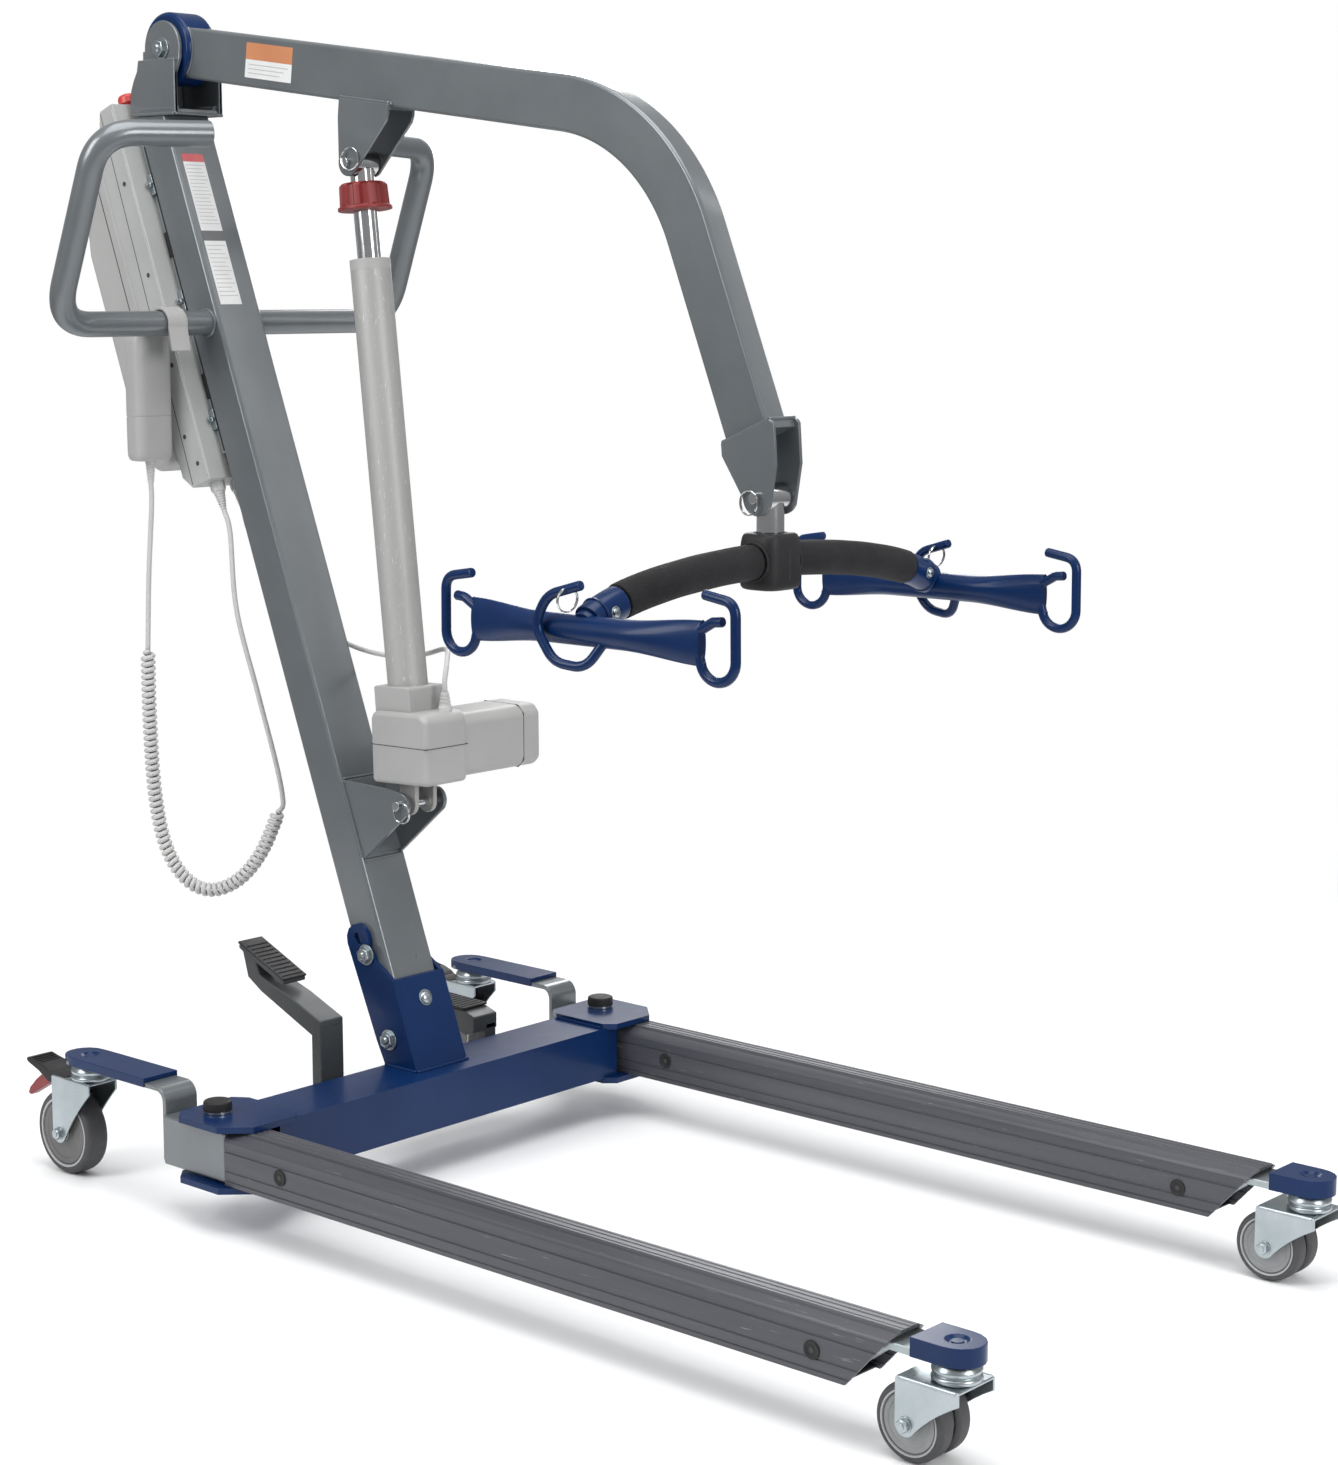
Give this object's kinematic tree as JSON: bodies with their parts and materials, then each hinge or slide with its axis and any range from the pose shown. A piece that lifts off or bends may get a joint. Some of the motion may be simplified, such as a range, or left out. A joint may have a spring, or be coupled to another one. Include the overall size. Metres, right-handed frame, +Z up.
{
  "type": "patient lift hoist",
  "caption": "Mobile patient lift with a leaning mast, powered curved boom, sling hanger, spreading legs, swivel casters and a hung handset.",
  "frame": {"origin": "on the floor, under the middle of the bounding box of the machine without its cords", "axes": "+Z up; -Y forward along the legs; +X to the carer's left, across the machine"},
  "size_m": [0.7, 1.5651, 1.3565],
  "materials": {
    "grey_coat": "satin powder coat",
    "navy_coat": "gloss powder coat",
    "leg_cover": "ribbed, satin",
    "zinc": "bright zinc",
    "chrome": "polished",
    "light_case": "fine texture",
    "black_plastic": "matte",
    "black_foam": "foam grip",
    "grey_tyre": "matte",
    "red_plastic": "satin",
    "cord_grey": "satin",
    "pedal_grey": "satin"
  },
  "bodies": {
    "base": {"base_frame": "navy_coat", "mast": "grey_coat", "push_handle_left": "grey_coat", "push_handle_right": "grey_coat", "mast_bolt_upper": "zinc", "mast_bolt_lower": "zinc", "boom_pivot_bolt": "zinc", "actuator_foot_pin": "chrome", "box_mount": "zinc", "control_box": "light_case", "battery_pack": "light_case", "handset_body": "light_case", "handset_hook": "light_case", "handset_lead_upper": "cord_grey", "handset_lead_coil": "cord_grey", "handset_lead_lower": "cord_grey", "handset_plug": "cord_grey", "motor_cable": "cord_grey", "motor_plug": "cord_grey", "leg_pivot_bolt_left": "zinc", "leg_pivot_bolt_right": "zinc"},
    "boom": {"boom": "grey_coat", "hanger_pin": "chrome"},
    "actuator": {"actuator_body": "light_case"},
    "actuator_rod": {"actuator_rod": "chrome"},
    "collar": {"release_collar": "red_plastic"},
    "hanger_yoke": {"hanger_yoke": "chrome"},
    "spreader": {"spreader_bar": "navy_coat", "hanger_boot": "black_plastic", "hanger_grip_left": "black_foam", "hanger_grip_right": "black_foam"},
    "stop_button": {"emergency_stop": "red_plastic"},
    "up_button": {"button_up": "black_plastic"},
    "down_button": {"button_down": "black_plastic"},
    "pedal": {"spreader_pedal": "pedal_grey"},
    "tie_rod_left": {"tie_rod_left": "zinc"},
    "tie_rod_right": {"tie_rod_right": "zinc"},
    "leg_right": {"leg_right": "grey_coat", "leg_cover_right": "leg_cover", "rear_caster_arm_right": "grey_coat", "rear_cap_right": "navy_coat", "front_cap_right": "navy_coat"},
    "rear_caster_right": {"caster_fork_rear_right": "zinc"},
    "front_caster_right": {"caster_fork_front_right": "zinc"},
    "rear_wheel_right": {"rear_wheel_right": "grey_tyre"},
    "front_wheel_outer_right": {"front_wheel_outer_right": "grey_tyre"},
    "front_wheel_inner_right": {"front_wheel_inner_right": "grey_tyre"},
    "brake_right": {"brake_pedal_right": "black_plastic"},
    "leg_left": {"leg_left": "grey_coat", "leg_cover_left": "leg_cover", "rear_caster_arm_left": "grey_coat", "rear_cap_left": "navy_coat", "front_cap_left": "navy_coat"},
    "rear_caster_left": {"caster_fork_rear_left": "zinc"},
    "front_caster_left": {"caster_fork_front_left": "zinc"},
    "rear_wheel_left": {"rear_wheel_left": "grey_tyre"},
    "front_wheel_outer_left": {"front_wheel_outer_left": "grey_tyre"},
    "front_wheel_inner_left": {"front_wheel_inner_left": "grey_tyre"},
    "brake_left": {"brake_pedal_left": "black_plastic"}
  },
  "joints": [
    {"name": "boom_lift", "type": "hinge", "parent": "base", "child": "boom", "pos_m": [0, 0.6559, 1.313], "axis": [-1, 0, 0], "range_deg": [-8, 35]},
    {"name": "actuator_tilt", "type": "hinge", "parent": "base", "child": "actuator", "pos_m": [0, 0.2529, 0.431], "axis": [1, 0, 0], "range_deg": [-0.9, 3.9]},
    {"name": "rod_slide", "type": "slide", "parent": "actuator", "child": "actuator_rod", "axis": [0, 0.1091, 0.994], "range_m": [-0.0462, 0.2012]},
    {"name": "collar_twist", "type": "hinge", "parent": "actuator_rod", "child": "collar", "pos_m": [0, 0.32954, 1.12924], "axis": [0, 0.1091, 0.994], "range_deg": [0, 45]},
    {"name": "hanger_swing", "type": "hinge", "parent": "boom", "child": "hanger_yoke", "pos_m": [0, -0.2801, 0.815], "axis": [1, 0, 0], "range_deg": [-40, 40]},
    {"name": "hanger_swivel", "type": "hinge", "parent": "hanger_yoke", "child": "spreader", "pos_m": [0, -0.2801, 0.745], "axis": [0, 0, 1], "continuous": true},
    {"name": "leg_spread_right", "type": "hinge", "parent": "base", "child": "leg_right", "pos_m": [-0.311, 0.2529, 0.086], "axis": [0, 0, -1], "range_deg": [0, 14]},
    {"name": "leg_spread_left", "type": "hinge", "parent": "base", "child": "leg_left", "pos_m": [0.311, 0.2529, 0.086], "axis": [0, 0, 1], "range_deg": [0, 14]},
    {"name": "pedal_rock", "type": "hinge", "parent": "base", "child": "pedal", "pos_m": [0, 0.2529, 0.088], "axis": [0, -1, 0], "range_deg": [0, 29]},
    {"name": "tie_rod_slide_right", "type": "slide", "parent": "base", "child": "tie_rod_right", "axis": [-1, 0, 0], "range_m": [0, 0.0088]},
    {"name": "rear_caster_swivel_right", "type": "hinge", "parent": "leg_right", "child": "rear_caster_right", "pos_m": [-0.311, 0.4819, 0.12], "axis": [0, 0, 1], "continuous": true},
    {"name": "front_caster_swivel_right", "type": "hinge", "parent": "leg_right", "child": "front_caster_right", "pos_m": [-0.311, -0.7551, 0.09], "axis": [0, 0, 1], "continuous": true},
    {"name": "rear_wheel_roll_right", "type": "hinge", "parent": "rear_caster_right", "child": "rear_wheel_right", "pos_m": [-0.311, 0.5199, 0.05], "axis": [1, 0, 0], "continuous": true},
    {"name": "front_wheel_roll_outer_right", "type": "hinge", "parent": "front_caster_right", "child": "front_wheel_outer_right", "pos_m": [-0.3237, -0.7191, 0.0375], "axis": [1, 0, 0], "continuous": true},
    {"name": "front_wheel_roll_inner_right", "type": "hinge", "parent": "front_caster_right", "child": "front_wheel_inner_right", "pos_m": [-0.2983, -0.7191, 0.0375], "axis": [1, 0, 0], "continuous": true},
    {"name": "brake_press_right", "type": "hinge", "parent": "rear_caster_right", "child": "brake_right", "pos_m": [-0.311, 0.5119, 0.116], "axis": [-1, 0, 0], "range_deg": [0, 8]},
    {"name": "tie_rod_slide_left", "type": "slide", "parent": "base", "child": "tie_rod_left", "axis": [1, 0, 0], "range_m": [0, 0.0088]},
    {"name": "rear_caster_swivel_left", "type": "hinge", "parent": "leg_left", "child": "rear_caster_left", "pos_m": [0.311, 0.4819, 0.12], "axis": [0, 0, 1], "continuous": true},
    {"name": "front_caster_swivel_left", "type": "hinge", "parent": "leg_left", "child": "front_caster_left", "pos_m": [0.311, -0.7551, 0.09], "axis": [0, 0, 1], "continuous": true},
    {"name": "rear_wheel_roll_left", "type": "hinge", "parent": "rear_caster_left", "child": "rear_wheel_left", "pos_m": [0.311, 0.5199, 0.05], "axis": [1, 0, 0], "continuous": true},
    {"name": "front_wheel_roll_outer_left", "type": "hinge", "parent": "front_caster_left", "child": "front_wheel_outer_left", "pos_m": [0.3237, -0.7191, 0.0375], "axis": [1, 0, 0], "continuous": true},
    {"name": "front_wheel_roll_inner_left", "type": "hinge", "parent": "front_caster_left", "child": "front_wheel_inner_left", "pos_m": [0.2983, -0.7191, 0.0375], "axis": [1, 0, 0], "continuous": true},
    {"name": "brake_press_left", "type": "hinge", "parent": "rear_caster_left", "child": "brake_left", "pos_m": [0.311, 0.5119, 0.116], "axis": [-1, 0, 0], "range_deg": [0, 8]},
    {"name": "stop_press", "type": "slide", "parent": "base", "child": "stop_button", "axis": [0, -0.3536, -0.9354], "range_m": [0, 0.005], "stiffness_N_per_m": 400},
    {"name": "button_up_press", "type": "slide", "parent": "base", "child": "up_button", "axis": [0, -1, 0], "range_m": [0, 0.001], "stiffness_N_per_m": 500},
    {"name": "button_down_press", "type": "slide", "parent": "base", "child": "down_button", "axis": [0, -1, 0], "range_m": [0, 0.001], "stiffness_N_per_m": 500}
  ],
  "couplings": [
    {"joint": "actuator_tilt", "follows": "boom_lift", "ratio": 0.10954},
    {"joint": "rod_slide", "follows": "boom_lift", "m_per_rad": 0.32833},
    {"joint": "leg_spread_left", "follows": "leg_spread_right", "ratio": 1},
    {"joint": "pedal_rock", "follows": "leg_spread_right", "ratio": 2.07},
    {"joint": "tie_rod_slide_left", "follows": "leg_spread_right", "m_per_rad": 0.036},
    {"joint": "tie_rod_slide_right", "follows": "leg_spread_right", "m_per_rad": 0.036}
  ]
}
